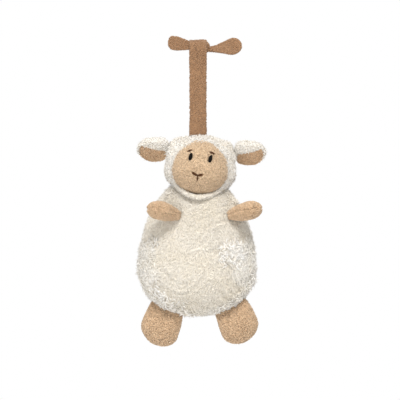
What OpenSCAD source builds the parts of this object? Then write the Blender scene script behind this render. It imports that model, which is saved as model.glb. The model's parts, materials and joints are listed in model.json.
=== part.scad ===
// Hanging plush lamb with a pull-cord musical movement, in millimetres.
// The origin is the centre of the hanging eye. +Z is up, -Y is the front and +X is the lamb's own left.
// Soft pieces are eggs: two half ellipsoids that share their widest outline.

/* [Strap and tie] */
// Width of the hanging strap
strap_w = 17; // [14:0.5:22]
// Thickness of the doubled strap
strap_t = 3; // [2:0.25:4]
// Radius of the hanging eye
eye_r = 4.2; // [3:0.1:6]
// Drop from the centre of the eye to the top of the head
strap_drop = 86; // [60:1:120]
// Length of the strap that is tucked into the head
strap_tuck = 12; // [8:1:18]
// Reach of each tie end, from the middle of the strap
tie_reach = 37; // [26:1:50]
// Height of a tie end at its widest
tie_h = 15.5; // [10:0.5:20]
// Thickness of a tie end
tie_t = 4; // [3:0.25:6]

/* [Head] */
// Half width of the head
head_w = 36.5; // [30:0.5:45]
// Half depth of the head
head_d = 31; // [26:0.5:38]
// Drop of the head's widest level below its own middle
hood_drop = 7; // [0:0.5:12]
// Height of the head above its widest level
head_up = 39; // [32:0.5:46]
// Height of the head below its widest level
head_down = 25; // [20:0.5:32]
// Sideways tilt of the head, in degrees
head_roll = 6; // [0:1:12]
// Half width of the face panel
face_w = 28; // [20:0.5:30]
// How far the face bulges from its own middle
face_d = 25; // [20:0.5:30]
// Height of the face above its widest level
face_up = 31; // [22:0.5:33]
// Height of the face below its widest level
face_down = 23; // [16:0.5:26]
// Distance between the eyes
eye_gap = 19.8; // [14:0.2:26]

/* [Torso] */
// Half width of the torso
torso_w = 59.5; // [50:0.5:72]
// Half depth of the torso
torso_d = 40; // [38:0.5:50]
// Height of the torso above its widest level
torso_up = 94; // [86:1:104]
// Height of the torso below its widest level
torso_down = 45; // [42:0.5:54]
// Drop from the middle of the head to the widest level of the torso
neck_drop = 104; // [100:1:112]
// Thickness of the plush, with its pile
plush_t = 5; // [4:0.25:6]
// Thickness of the fleece
fleece_t = 2; // [1.5:0.25:3]

/* [Ears] */
// Half height of an ear
ear_w = 15; // [10:0.5:17]
// Half depth of an ear
ear_d = 11; // [8:0.5:13]
// Length of an ear from its seam to its tip
ear_len = 34; // [26:1:42]
// Turn of the ear's opening from the front towards the ground, in degrees
ear_open = 58; // [30:1:70]

/* [Arms] */
// Half width of an arm
arm_w = 10.5; // [8:0.5:13]
// Half thickness of an arm
arm_d = 9; // [7:0.2:11]
// Length of an arm
arm_len = 34.5; // [30:0.5:44]
// Sideways turn of the left and the right arm from straight ahead, in degrees
arm_yaw = [48, 38]; // [30:1:60]
// Rise of the arms, in degrees
arm_rise = 13; // [0:1:25]

/* [Feet] */
// Half width of a foot
foot_w = 18.5; // [14:0.5:22]
// Half thickness of a foot
foot_d = 12; // [9:0.5:15]
// Length of a foot
foot_len = 35; // [30:0.5:44]
// Outward turn of the left and the right foot, in degrees
foot_splay = [24, 19]; // [5:1:35]

/* [Movement] */
// Radius of the drum under the cord
drum_r = 8; // [7:0.1:8.4]
// Radius of the pull cord
cord_r = 0.8; // [0.5:0.05:1]
// Wall of the movement's plastic case
case_wall = 1.5; // [1.2:0.1:2]
// Module of the first gear pair
module_slow = 0.5; // [0.5:0.01:0.52]
// Module of the governor's gears
module_fast = 0.4; // [0.38:0.01:0.42]
// Number of teeth of the comb
comb_teeth = 18; // [12:1:18]
// Radius of the music cylinder, without its pins
cylinder_r = 5; // [4.4:0.1:5]

/* [Hidden] */
$fn = 64;

// Colours
cream = [0.90, 0.87, 0.81];
tan_fleece = [0.80, 0.65, 0.50];
strap_brown = [0.62, 0.47, 0.35];
thread_black = [0.08, 0.06, 0.05];
thread_brown = [0.42, 0.27, 0.16];
fibre_white = [0.95, 0.95, 0.93];
case_white = [0.88, 0.88, 0.86];
gear_white = [0.82, 0.84, 0.80];
steel = [0.68, 0.69, 0.71];
brass = [0.78, 0.64, 0.32];

// Clearances
sew_gap = 0.3;      // between soft pieces that are sewn or pressed together
fill_gap = 0.2;     // between a cover and its stuffing
run_gap = 0.05;     // around a turning shaft
stitch_gap = 0.05;  // between a stitch, a lining or a coil and what it lies on
seat_gap = 0.02;    // around a pressed or screwed piece
big = 400;          // longer than the lamb, for cutting with half spaces

// Where the soft pieces sit
head_at = [2.5, 0, -strap_drop - head_up + hood_drop];
face_at = [0, -12, -5];                           // from the middle of the head, in its tilted frame
torso_at = [-1, 4, head_at[2] - neck_drop];
ear_z = [14, 17.5];                               // left and right seam above the middle of the head
ear_droop = [4, 4];
ear_out = 1.5;                                    // of an ear's seam from the plush
arm_x = [37, -26];                                // left and right arm seam
arm_z = torso_at[2] + torso_up * 0.585;
arm_out = 2.4;                                    // of an arm's seam from the plush
foot_out = 2.2;
foot_x = [33.5, -31.5];
sides = [1, -1];                                  // left, right

// Limbs: [half width, half thickness, tip half, root half, middle from the seam, root radius]
arm_tip = arm_len / 3;
arm_reach = 0.87;                                 // of an arm's slanted length, straight out from its seam
arm_form = [arm_w, arm_d, arm_tip, arm_len * 0.93, arm_len * arm_reach - arm_tip, 3.2];
foot_tip = foot_len * 0.42;
foot_form = [foot_w, foot_d, foot_tip, foot_len * 1.3, foot_len - foot_tip, 3.6];
root_taper = 30;                                  // of a limb's flattened root, in degrees
ear_tip = ear_len * 0.45;
ear_root_r = 3.2;
ear_root_len = 11;
ear_plush_t = 3.6;
ear_lining_t = 1.8;

function root_width(f) = 2 * f[0] * sqrt(1 - pow(f[4] / f[3], 2));
function round_share(a, b) = sqrt(max(0.01, 1 - a * a - b * b));
// The torso's front at a given x and z, its underside at a given x, and the head's side at a given height
function torso_front_y(x, z) =
    torso_at[1] - torso_d * round_share((x - torso_at[0]) / torso_w, (z - torso_at[2]) / torso_up);
function torso_front_turn(x, z) = atan(
    torso_d * (x - torso_at[0]) / pow(torso_w, 2)
    / round_share((x - torso_at[0]) / torso_w, (z - torso_at[2]) / torso_up));
function torso_under_turn(x) = atan(
    torso_down * abs(x - torso_at[0]) / pow(torso_w, 2) / round_share((x - torso_at[0]) / torso_w, 0));
function torso_under_z(x) = torso_at[2] - torso_down * round_share((x - torso_at[0]) / torso_w, 0);
function head_side(z) = head_w * round_share((z + hood_drop) / head_up, head_at[1] / head_d);

// Movement: the axes of its shafts, in the plane across them, from the axis of the drum
drum_at = [0, drum_r + cord_r + stitch_gap, torso_at[2] + 22];
drive_teeth = 44;
pinion_teeth = 24;
wheel_teeth = 36;
small_teeth = 12;
cylinder_axis = [0, -module_slow * (drive_teeth + pinion_teeth) / 2];
fast_reach = module_fast * (wheel_teeth + small_teeth) / 2;
idler_angle = 190;
fan_angle = 115;
idler_axis = cylinder_axis + fast_reach * [cos(idler_angle), sin(idler_angle)];
fan_axis = idler_axis + fast_reach * [cos(fan_angle), sin(fan_angle)];
flange_r = drum_r + 3;
flange_t = 1;
drum_half = 4;                                    // half the drum's length
hub_r = 4;
arbor_r = 1.5;
thin_arbor_r = 1.1;
cheek_x = 19;                                     // inner face of the frame's cheeks
cheek_t = 2;
gear_t = 2;
gear_x = -17;                                     // outer face of the slow gears
wheel_x = 14;                                     // the cylinder's wheel
idler_wheel_x = 16.4;
barrel_x = 6;
barrel_len = 7;
barrel_r = 10;
cylinder_half = 10.5;
pin_r = 0.25;
pin_h = 0.6;
comb_t = 1.2;
comb_pitch = 2 * cylinder_half / 18.3;
tooth_w = comb_pitch - 0.3;
comb_tip = cylinder_axis[1] - cylinder_r - pin_h - run_gap;
comb_long = 8.5;
comb_short = 5.5;
comb_base = comb_tip - comb_long - 7;
comb_screw_x = 7.5;
comb_screw_r = 1;
back_plate_y = max(flange_r, module_slow * (drive_teeth / 2 + 1)) + 0.8;
back_plate_t = 1.8;
shelf_z = comb_base - 0.5;
shelf_h = 6;
fan_r = 4.5;
post_r = 2.6;                                     // of the case's screw posts
// Inside of the case: x, y and z limits from the axis of the drum
case_in = [
    [-cheek_x - cheek_t - 0.6, fan_axis[0] - fan_r - 1.2, shelf_z - 2 * post_r - 0.4],
    [cheek_x + cheek_t + 0.6, back_plate_y + back_plate_t + 0.2, flange_r + 1.6]
];
case_split = -4;                                  // y of the joint between the two halves
case_corner = 3;
post_x = case_in[1][0] - post_r + 0.6;
post_z = [case_in[0][2] + post_r, case_in[1][2] - post_r];
case_screw_r = 0.9;
guide_r = cord_r + 0.5;

// ---------- shapes shared by the soft pieces ----------

// An eighth of an ellipsoid
module octant(w, d, h) {
    scale([w, d, h])
        intersection() {
            sphere(r = 1);
            cube(1.5);
        }
}

// Two half ellipsoids, one up and one down. xs, ys and zs pick its eighths: 1, -1 or both ways along each axis.
module egg(w, d, up, down, xs = sides, ys = sides, zs = sides) {
    for (x = xs, y = ys, z = zs)
        mirror([x < 0 ? 1 : 0, 0, 0])
            mirror([0, y < 0 ? 1 : 0, 0])
                mirror([0, 0, z < 0 ? 1 : 0])
                    octant(w, d, z > 0 ? up : down);
}

// An egg with its size changed by grow all round
module egg_of(size, grow = 0, xs = sides, ys = sides, zs = sides) {
    egg(size[0] + grow, size[1] + grow, size[2] + grow, size[3] + grow, xs, ys, zs);
}

torso_size = [torso_w, torso_d, torso_up, torso_down];
head_size = [head_w, head_d, head_up, head_down];
face_size = [face_w, face_d, face_up, face_down];

module in_torso() { translate(torso_at) children(); }
module in_head() { translate(head_at) rotate([0, head_roll, 0]) children(); }
module in_hood() { in_head() translate([0, 0, -hood_drop]) children(); }
module in_face() { in_head() translate(face_at) children(); }

// ---------- strap and tie ----------

eye_out = eye_r + strap_t - 0.2;                  // outside of the strap's loop
loop_join = -2.4 * eye_out;                       // where the loop's two layers meet

// The strap's doubled band, whose tail is sewn down behind it below the loop
module strap_band() {
    shoulder = 0.96 * eye_out;                    // where the band leaves the loop, just inside it
    polygon([
        [-shoulder * cos(28), -shoulder * sin(28)],
        [shoulder * cos(28), -shoulder * sin(28)],
        [strap_t, loop_join],
        [strap_t, loop_join - 7],
        [strap_t / 2, loop_join - 7],
        [strap_t / 2, -strap_drop - strap_tuck],
        [-strap_t / 2, -strap_drop - strap_tuck],
        [-strap_t / 2, loop_join]
    ]);
}

module hang_strap() {
    color(strap_brown)
        translate([-strap_w / 2, 0, 0])
            rotate([90, 0, 90])
                difference() {
                    union() {
                        cylinder(r = eye_out, h = strap_w);
                        linear_extrude(height = strap_w) strap_band();
                    }
                    translate([0, 0, -1]) cylinder(r = eye_r, h = strap_w + 2);
                }
}

knot_at = [4, eye_out + 4.6, 1.5];
knot_size = [7.6, 4.2, 6.8];

// The half knot behind the loop
module knot_body(grow = 0) {
    translate(knot_at)
        scale(knot_size + [grow, grow, grow])
            sphere(r = 1);
}

module tie_knot() { color(strap_brown) knot_body(); }

// side is 1 for the left end, which is twisted, and -1 for the right end, which is folded flat
module tie_end(side) {
    corner = 4.5;
    waist = side > 0 ? 2.6 : 4;
    waist_z = side > 0 ? -0.5 : 1.4;
    low_z = side > 0 ? -2.2 : 1.2;
    end_x = side * (tie_reach - corner);
    color(strap_brown)
        difference() {
            translate([0, knot_at[1] + tie_t / 2, 0])
                rotate([90, 0, 0])
                    linear_extrude(height = tie_t)
                        hull() {
                            translate([knot_at[0] + side * knot_size[0] / 2, waist_z]) circle(r = waist, $fn = 24);
                            translate([end_x, low_z]) circle(r = corner, $fn = 24);
                            translate([end_x, low_z + tie_h - 2 * corner]) circle(r = corner, $fn = 24);
                        }
            knot_body(seat_gap);
        }
}

// ---------- torso and head ----------

// Which eighths of an egg to build: along Y the front or the back, and along Z the upper or the lower
front = [-1];
back = [1];
upper = [1];
low = [-1];

// What the head and the face press into the torso
module head_envelope(ys) {
    in_hood() egg_of(head_size, sew_gap, ys = ys, zs = low);
    in_face() egg_of(face_size, sew_gap, ys = front, zs = low);
}

module strap_slot() {
    gap = sew_gap;
    translate([-strap_w / 2 - gap, -strap_t / 2 - gap, -strap_drop - strap_tuck - 6])
        cube([strap_w + 2 * gap, strap_t + 2 * gap, strap_tuck + 30]);
}

module cord_channel() {
    translate([0, 0, drum_at[2]])
        cylinder(r = guide_r, h = -drum_at[2] - strap_drop);
}

module torso_panel(ys) {
    color(cream)
        difference() {
            in_torso() egg_of(torso_size, ys = ys);
            in_torso() egg_of(torso_size, -plush_t, ys = ys);
            if (ys == front) {
                head_envelope(sides);
                for (i = [0, 1]) arm_frame(i) root_groove(arm_form);
            } else {
                in_hood() egg_of(head_size, sew_gap, ys = back, zs = low);
            }
            for (i = [0, 1]) foot_frame(i) root_groove(foot_form);
        }
}

module torso_stuffing() {
    color(fibre_white)
        difference() {
            in_torso() egg_of(torso_size, -plush_t - fill_gap);
            head_envelope(sides);
            at_drum() case_block(case_wall + fill_gap);
            translate([0, 0, drum_at[2] + case_in[1][2]])
                cylinder(r = guide_r + 2.6 + fill_gap, h = case_wall + 1.4);
            cord_channel();
        }
}

module head_hood(ys) {
    color(cream)
        difference() {
            in_hood() egg_of(head_size, ys = ys);
            in_hood() egg_of(head_size, -plush_t, ys = ys);
            if (ys == front) in_face() egg_of(face_size, sew_gap, ys = front);
            strap_slot();
            cord_channel();
            for (i = [0, 1])
                ear_frame(i) ear_groove();
        }
}

module face_panel() {
    color(tan_fleece)
        difference() {
            in_face() egg_of(face_size, ys = front);
            in_face() egg_of(face_size, -fleece_t, ys = front);
            in_hood() egg_of(head_size, -plush_t, ys = front);
        }
}

module head_stuffing() {
    color(fibre_white)
        difference() {
            union() {
                in_hood() egg_of(head_size, -plush_t - fill_gap);
                in_face() egg_of(face_size, -fleece_t - fill_gap, ys = front);
            }
            strap_slot();
            cord_channel();
        }
}

// ---------- the embroidered face ----------

thread_t = 0.6;
face_turn = -0.8;                                 // of the features towards the lamb's right

// A flat outline, in x and z from the middle of the head, laid on the face as a layer of thread.
// xs and zs say which eighths of the face it lies on.
module stitched(c, xs, zs) {
    color(c)
        intersection() {
            difference() {
                in_face() egg_of(face_size, thread_t + stitch_gap, xs, front, zs);
                in_face() egg_of(face_size, stitch_gap, xs, front, zs);
            }
            in_head()
                rotate([90, 0, 0])
                    linear_extrude(height = 2 * head_d)
                        translate([face_turn, 0])
                            children();
        }
}

module stroke(a, b, r) {
    hull() {
        translate(a) circle(r = r, $fn = 12);
        translate(b) circle(r = r, $fn = 12);
    }
}

module eye(side) {
    stitched(thread_black, [side], upper)
        translate([side * eye_gap / 2, 8])
            rotate(-14)
                scale([0.5, 1])
                    circle(r = 3.2, $fn = 24);
}

module brow(side) {
    stitched(thread_brown, [side], upper)
        translate([side * (eye_gap / 2 + 0.9), 13.3])
            rotate(-side * 26)
                scale([1, 0.2])
                    circle(r = 2.7, $fn = 20);
}

module nose_and_mouth_stitch() {
    nose = [-1.1, -9.4];
    stitched(thread_brown, sides, low) {
        stroke(nose + [-5.9, 2.5], nose, 0.45);
        stroke(nose, nose + [5.1, 1.4], 0.45);
        stroke(nose, nose + [0.3, -5.1], 0.4);
    }
}

// ---------- limbs and ears ----------

// A limb runs from its seam at the origin along +Z. Its hinge line is X, its thickness is Y, and lean
// slants it along its hinge line.
module slanted(lean) {
    multmatrix([[1, 0, tan(lean), 0], [0, 1, 0, 0], [0, 0, 1, 0]])
        children();
}

module limb_body(f, inset, ys = sides) {
    difference() {
        translate([0, 0, f[4]])
            egg(f[0] - inset, f[1] - inset, f[2] - inset, f[3] - inset, ys = ys);
        translate([-big / 2, -big / 2, -big + (inset > 0 ? f[5] + inset / 2 : 0)])
            cube(big);
        for (y = ys)
            translate([0, y * (f[5] - inset), 0])
                rotate([-y * root_taper, 0, 0])
                    translate([-big / 2, y > 0 ? 0 : -big, -big / 2])
                        cube(big);
    }
}

module root_bar(f, grow = 0) {
    rotate([0, 90, 0])
        cylinder(r = f[5] + grow, h = root_width(f) + 2 * grow, center = true);
}

module root_groove(f) { root_bar(f, sew_gap + 0.05); }

// Half of a limb's cover, before or behind its seam
module limb_cover(f, ys, lean) {
    color(tan_fleece)
        difference() {
            union() {
                slanted(lean) limb_body(f, 0, ys);
                difference() {
                    root_bar(f);
                    translate([-big / 2, ys == front ? 0 : -big, -big / 2])
                        cube(big);
                }
            }
            slanted(lean) limb_body(f, fleece_t, ys);
        }
}

module limb_stuffing(f, lean) {
    color(fibre_white)
        slanted(lean) limb_body(f, fleece_t + fill_gap);
}

// An arm's seam lies along the torso's front, and a foot's along its underside
function arm_seam_turn(i) = torso_front_turn(arm_x[i], arm_z);
function arm_lean(i) = sides[i] * arm_yaw[i] - arm_seam_turn(i);
function foot_lean(i) = sides[i] * (torso_under_turn(foot_x[i]) - foot_splay[i]);

module arm_frame(i) {
    translate([arm_x[i], torso_front_y(arm_x[i], arm_z) - arm_out, arm_z])
        rotate([0, 0, arm_seam_turn(i)])
            rotate([90 - arm_rise, 0, 0])
                children();
}

module foot_frame(i) {
    translate([foot_x[i], torso_at[1], torso_under_z(foot_x[i]) - foot_out])
        rotate([0, 180 - sides[i] * torso_under_turn(foot_x[i]), 0])
            children();
}

// An ear runs from its seam along +Z, with the ground towards +X. The right ear is the left one mirrored.
module ear_frame(i) {
    translate([head_at[0] + sides[i] * (head_side(ear_z[i]) + ear_out), 0, head_at[2] + ear_z[i]])
        mirror([i, 0, 0])
            rotate([0, 90 + ear_droop[i], 0])
                children();
}

module ear_groove() {
    rotate([90, 0, 0])
        cylinder(r = ear_root_r + sew_gap + 0.05, h = ear_root_len + 4, center = true);
}

// The half of the ear's egg that is away from its mouth, which opens forwards and down
module ear_egg(inset) {
    middle = ear_len - ear_tip;
    rotate([0, 0, ear_open])
        translate([0, 0, middle])
            egg(ear_w - inset, ear_d - inset, ear_tip - inset, middle - 1.5 - inset / 2, ys = back);
}

module ear_plush() {
    color(cream)
        union() {
            difference() {
                ear_egg(0);
                ear_egg(ear_plush_t);
            }
            rotate([90, 0, 0])
                cylinder(r = ear_root_r, h = ear_root_len, center = true);
        }
}

module ear_lining() {
    color(tan_fleece)
        difference() {
            ear_egg(ear_plush_t + stitch_gap);
            ear_egg(ear_plush_t + stitch_gap + ear_lining_t);
            rotate([90, 0, 0])
                cylinder(r = ear_root_r + stitch_gap, h = ear_root_len + 1, center = true);
        }
}

// ---------- movement: gears and shafts ----------

function involute(a) = tan(a) * 180 / PI - a;
pressure = 20;

// A spur gear's outline with a tooth on the +X axis
module gear_outline(m, teeth, backlash, addendum = 0.9) {
    pitch = m * teeth / 2;
    base = pitch * cos(pressure);
    root = pitch - 1.2 * m;
    tip = pitch + addendum * m;
    foot = max(base, root);
    half_tooth = 90 / teeth - backlash / 4 / pitch * 180 / PI;
    radii = [for (k = [0 : 3]) foot + (tip - foot) * k / 3];
    turns = [for (q = radii) half_tooth + involute(pressure) - involute(acos(min(1, base / q)))];
    polygon([
        for (i = [0 : teeth - 1])
            let (at = i * 360 / teeth)
                each concat(
                    [root * [cos(at - turns[0] - 0.4), sin(at - turns[0] - 0.4)]],
                    [for (k = [0 : 3]) radii[k] * [cos(at - turns[k]), sin(at - turns[k])]],
                    [for (k = [3 : -1 : 0]) radii[k] * [cos(at + turns[k]), sin(at + turns[k])]],
                    [root * [cos(at + turns[0] + 0.4), sin(at + turns[0] + 0.4)]]
                )
    ]);
}

module gear(m, teeth, thick, turn, backlash = 0.16, addendum = 0.9) {
    rotate([0, 0, turn])
        linear_extrude(height = thick)
            gear_outline(m, teeth, backlash, addendum);
}

// Across the shafts: the outline's x and y become y and z, and its height runs along +X
module at_drum() { translate(drum_at) children(); }
module on_shaft(axis, x) {
    translate([x, axis[0], axis[1]])
        rotate([90, 0, 90])
            children();
}

module shaft(axis, r) {
    at_drum()
        on_shaft(axis, -cheek_x - cheek_t + 0.3)
            cylinder(r = r, h = 2 * (cheek_x + cheek_t - 0.3));
}

down = -90;                                       // from the drum's axis towards the cylinder's

module cord_drum() {
    color(gear_white)
        at_drum()
            on_shaft([0, 0], 0)
                difference() {
                    union() {
                        translate([0, 0, -drum_half]) cylinder(r = drum_r, h = 2 * drum_half);
                        for (z = [-drum_half, drum_half - flange_t])
                            translate([0, 0, z]) cylinder(r = flange_r, h = flange_t);
                        translate([0, 0, -drum_half - 5]) cylinder(r = hub_r, h = 5);
                    }
                    translate([0, 0, -drum_half - 6])
                        cylinder(r = arbor_r + seat_gap, h = 2 * drum_half + 7);
                }
}

module drum_arbor() { color(steel) shaft([0, 0], arbor_r); }

// The turns of cord that are left on the drum, laid side by side
module wound_cord() {
    pitch = 2 * cord_r + 0.15;
    color(fibre_white)
        at_drum()
            for (k = [-1, 1])
                on_shaft([0, 0], k * pitch)
                    rotate_extrude()
                        translate([drum_r + cord_r + stitch_gap, 0])
                            circle(r = cord_r, $fn = 24);
}

// A coil of round wire: rings of six points along the coil's own line
module wire_coil(r, wire, pitch, turns) {
    steps = 14;
    rings = turns * steps;
    corners = 6;
    points = [
        for (i = [0 : rings], j = [0 : corners - 1])
            let (a = i * 360 / steps, b = j * 360 / corners, q = r + wire * cos(b))
                [q * cos(a), q * sin(a), i * pitch / steps + wire * sin(b)]
    ];
    walls = [
        for (i = [0 : rings - 1], j = [0 : corners - 1])
            let (k = (j + 1) % corners)
                [i * corners + j, (i + 1) * corners + j, (i + 1) * corners + k, i * corners + k]
    ];
    start = [for (j = [0 : corners - 1]) j];
    end = [for (j = [corners - 1 : -1 : 0]) rings * corners + j];
    polyhedron(points = points, faces = concat([start], walls, [end]));
}

module clutch_spring() {
    color(steel)
        at_drum()
            on_shaft([0, 0], -drum_half - 8.5)
                wire_coil(hub_r + 0.35 + 3 * run_gap, 0.35, 1.5, 5);
}

module drive_gear() {
    color(gear_white)
        at_drum()
            on_shaft([0, 0], gear_x)
                difference() {
                    union() {
                        gear(module_slow, drive_teeth, gear_t, down);
                        cylinder(r = hub_r - run_gap, h = -drum_half - 5.2 - gear_x);
                    }
                    translate([0, 0, -1])
                        cylinder(r = arbor_r + run_gap, h = 20);
                    for (a = [0 : 72 : 288])
                        rotate([0, 0, a])
                            translate([7.2, 0, -1])
                                cylinder(r = 1.6, h = 4);
                }
}

module pin_cylinder() {
    color(brass)
        at_drum()
            on_shaft(cylinder_axis, -cylinder_half)
                difference() {
                    union() {
                        cylinder(r = cylinder_r, h = 2 * cylinder_half);
                        for (i = [0 : comb_teeth - 1], k = [0, 1])
                            rotate([0, 0, i * 137.5 + k * 160])
                                translate([0, 0, (i + 0.65) * comb_pitch])
                                    rotate([0, 90, 0])
                                        cylinder(r = pin_r, h = cylinder_r + pin_h, $fn = 13);
                    }
                    translate([0, 0, -1])
                        cylinder(r = thin_arbor_r + seat_gap, h = 2 * cylinder_half + 2);
                }
}

module cylinder_arbor() { color(steel) shaft(cylinder_axis, thin_arbor_r); }

module cylinder_pinion() {
    color(gear_white)
        at_drum()
            on_shaft(cylinder_axis, gear_x)
                difference() {
                    gear(module_slow, pinion_teeth, gear_t, down + 180 + 180 / pinion_teeth);
                    translate([0, 0, -1])
                        cylinder(r = thin_arbor_r + seat_gap, h = 4);
                }
}

module cylinder_wheel() {
    color(gear_white)
        at_drum()
            on_shaft(cylinder_axis, wheel_x)
                difference() {
                    gear(module_fast, wheel_teeth, 1.5, idler_angle);
                    translate([0, 0, -1])
                        cylinder(r = thin_arbor_r + seat_gap, h = 4);
                }
}

module idler_gear() {
    color(gear_white) {
        shaft(idler_axis, 0.8);
        at_drum() {
            on_shaft(idler_axis, wheel_x - 0.4)
                gear(module_fast, small_teeth, idler_wheel_x - wheel_x + 0.6,
                     idler_angle + 180 + 180 / small_teeth);
            on_shaft(idler_axis, idler_wheel_x)
                gear(module_fast, wheel_teeth, 1.5, fan_angle);
        }
    }
}

module fan_governor() {
    color(gear_white) {
        shaft(fan_axis, 0.7);
        at_drum() {
            on_shaft(fan_axis, idler_wheel_x - 0.4)
                gear(module_fast, small_teeth, 2.3, fan_angle + 180 + 180 / small_teeth);
            on_shaft(fan_axis, -8) {
                cylinder(r = 1.6, h = 16);
                rotate([0, 0, 20])
                    translate([-fan_r, -0.3, 0.5])
                        cube([2 * fan_r, 0.6, 15]);
            }
        }
    }
}

// ---------- movement: what stands still ----------

module mainspring() {
    turns = 6;
    steps = 18;
    strip = 0.35;
    inner = arbor_r + 0.5;
    grow = (barrel_r - 1.1 - strip - inner) / turns / steps;
    line = [for (i = [0 : turns * steps]) [inner + grow * i, i * 360 / steps]];
    color(steel)
        at_drum()
            on_shaft([0, 0], barrel_x + 0.5)
                linear_extrude(height = barrel_len - 2)
                    polygon(concat(
                        [for (p = line) p[0] * [cos(p[1]), sin(p[1])]],
                        [for (i = [len(line) - 1 : -1 : 0])
                            (line[i][0] + strip) * [cos(line[i][1]), sin(line[i][1])]]
                    ));
}

module spring_barrel() {
    color(gear_white)
        at_drum()
            on_shaft([0, 0], barrel_x)
                difference() {
                    union() {
                        cylinder(r = barrel_r, h = barrel_len);
                        translate([-3, 0, 0]) cube([6, back_plate_y - seat_gap, barrel_len]);
                    }
                    translate([0, 0, -1]) cylinder(r = barrel_r - 1, h = barrel_len);
                    translate([0, 0, -2]) cylinder(r = arbor_r + 0.1, h = barrel_len + 4);
                }
}

module comb() {
    half = comb_teeth * comb_pitch / 2;
    color(steel)
        at_drum()
            translate([0, -comb_t / 2, 0])
                difference() {
                    union() {
                        for (i = [0 : comb_teeth - 1])
                            let (long = comb_long - (comb_long - comb_short) * i / (comb_teeth - 1))
                                translate([-cylinder_half + (i + 0.65) * comb_pitch - tooth_w / 2, 0,
                                           comb_tip - long - 0.5])
                                    cube([tooth_w, comb_t, long + 0.5]);
                        rotate([90, 0, 0])
                            translate([0, 0, -comb_t])
                                linear_extrude(height = comb_t)
                                    polygon([
                                        [-half, comb_base], [half, comb_base],
                                        [half, comb_tip - comb_short], [-half, comb_tip - comb_long]
                                    ]);
                    }
                    for (s = sides)
                        translate([s * comb_screw_x, -1, comb_base + 3])
                            rotate([-90, 0, 0])
                                cylinder(r = comb_screw_r + 0.1, h = comb_t + 2);
                }
}

module comb_screws() {
    color(brass)
        at_drum()
            for (s = sides)
                translate([s * comb_screw_x, -comb_t / 2 - seat_gap, comb_base + 3])
                    rotate([-90, 0, 0]) {
                        cylinder(r = comb_screw_r, h = 5);
                        difference() {
                            translate([0, 0, -1.2]) cylinder(r = 2, h = 1.2);
                            translate([-2.5, -0.25, -1.6]) cube([5, 0.5, 1]);
                        }
                    }
}

module bearing_holes() {
    for (hole = [[[0, 0], arbor_r], [cylinder_axis, thin_arbor_r], [idler_axis, 0.8], [fan_axis, 0.7]])
        on_shaft(hole[0], -cheek_x - cheek_t - 1)
            cylinder(r = hole[1] + run_gap, h = 2 * (cheek_x + cheek_t + 1));
}

// One cheek's outline, with its corners cut off
module cheek_outline() {
    front = fan_axis[0] - 2.5;
    low = shelf_z;
    top = 5;
    polygon([
        [front, fan_axis[1] - 12], [front, fan_axis[1] + 3], [-6, top], [back_plate_y, top],
        [back_plate_y, low], [-2, low]
    ]);
}

module movement_frame() {
    color(steel)
        at_drum()
            difference() {
                union() {
                    for (x = [-cheek_x - cheek_t, cheek_x])
                        on_shaft([0, 0], x)
                            linear_extrude(height = cheek_t)
                                cheek_outline();
                    translate([-cheek_x - cheek_t, back_plate_y, shelf_z])
                        cube([2 * (cheek_x + cheek_t), back_plate_t, 5 - shelf_z]);
                    translate([-cheek_x - 0.5, comb_t / 2 + seat_gap, shelf_z])
                        cube([2 * cheek_x + 1, back_plate_y - comb_t / 2, shelf_h]);
                }
                bearing_holes();
                for (s = sides)
                    translate([s * comb_screw_x, -1, comb_base + 3])
                        rotate([-90, 0, 0])
                            cylinder(r = comb_screw_r + seat_gap, h = 9);
            }
}

// A block with rounded corners that fills the case and grows past it
module case_block(grow) {
    low = case_in[0];
    high = case_in[1];
    translate([0, high[1] + grow, 0])
        rotate([90, 0, 0])
            linear_extrude(height = high[1] - low[1] + 2 * grow)
                rounded_outline(low[0] - grow, low[2] - grow, high[0] + grow, high[2] + grow,
                                case_corner + grow);
}

module rounded_outline(x0, z0, x1, z1, r) {
    for (x = [x0 + r, x1 - r], z = [z0 + r, z1 - r])
        translate([x, z]) circle(r = r);
    translate([x0 + r, z0]) square([x1 - x0 - 2 * r, z1 - z0]);
    translate([x0, z0 + r]) square([x1 - x0, z1 - z0 - 2 * r]);
}

module at_posts() {
    for (s = sides, z = post_z)
        translate([s * post_x, case_in[0][1] - case_wall, z])
            rotate([-90, 0, 0])
                children();
}

// half is -1 for the front cup and 1 for the back one
module movement_case(half) {
    depth = case_in[1][1] - case_in[0][1] + 2 * case_wall;
    color(case_white)
        at_drum()
            difference() {
                union() {
                    difference() {
                        case_block(case_wall);
                        case_block(0);
                    }
                    at_posts() cylinder(r = post_r, h = depth);
                }
                at_posts() translate([0, 0, -1]) cylinder(r = case_screw_r + seat_gap, h = depth - 2);
                at_posts() translate([0, 0, -1]) cylinder(r = 2.2, h = 2.2);
                translate([0, -drum_at[1], 0])
                    cylinder(r = guide_r + 1.5, h = big);
                translate([-big / 2, half > 0 ? case_split - big : case_split, -big / 2])
                    cube(big);
            }
}

module case_screws() {
    depth = case_in[1][1] - case_in[0][1] + 2 * case_wall;
    color(steel)
        at_drum()
            at_posts() {
                translate([0, 0, 0.2]) cylinder(r = 2, h = 1);
                translate([0, 0, 1.1]) cylinder(r = case_screw_r, h = depth - 6);
            }
}

// The eyelet that the cord runs through
module cord_guide() {
    top = case_in[1][2];
    color(brass)
        translate([0, 0, drum_at[2] + top])
            difference() {
                union() {
                    cylinder(r = guide_r + 1.5 - seat_gap, h = case_wall + 0.1);
                    translate([0, 0, case_wall + 0.05]) cylinder(r = guide_r + 2.6, h = 0.8);
                }
                translate([0, 0, -1]) cylinder(r = guide_r, h = case_wall + 3);
            }
}

// ---------- the cord ----------

knot_r = strap_t / 2;

module cord_knot() {
    color(fibre_white)
        translate([0, 0, -strap_drop - strap_tuck - knot_r])
            sphere(r = knot_r);
}

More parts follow.
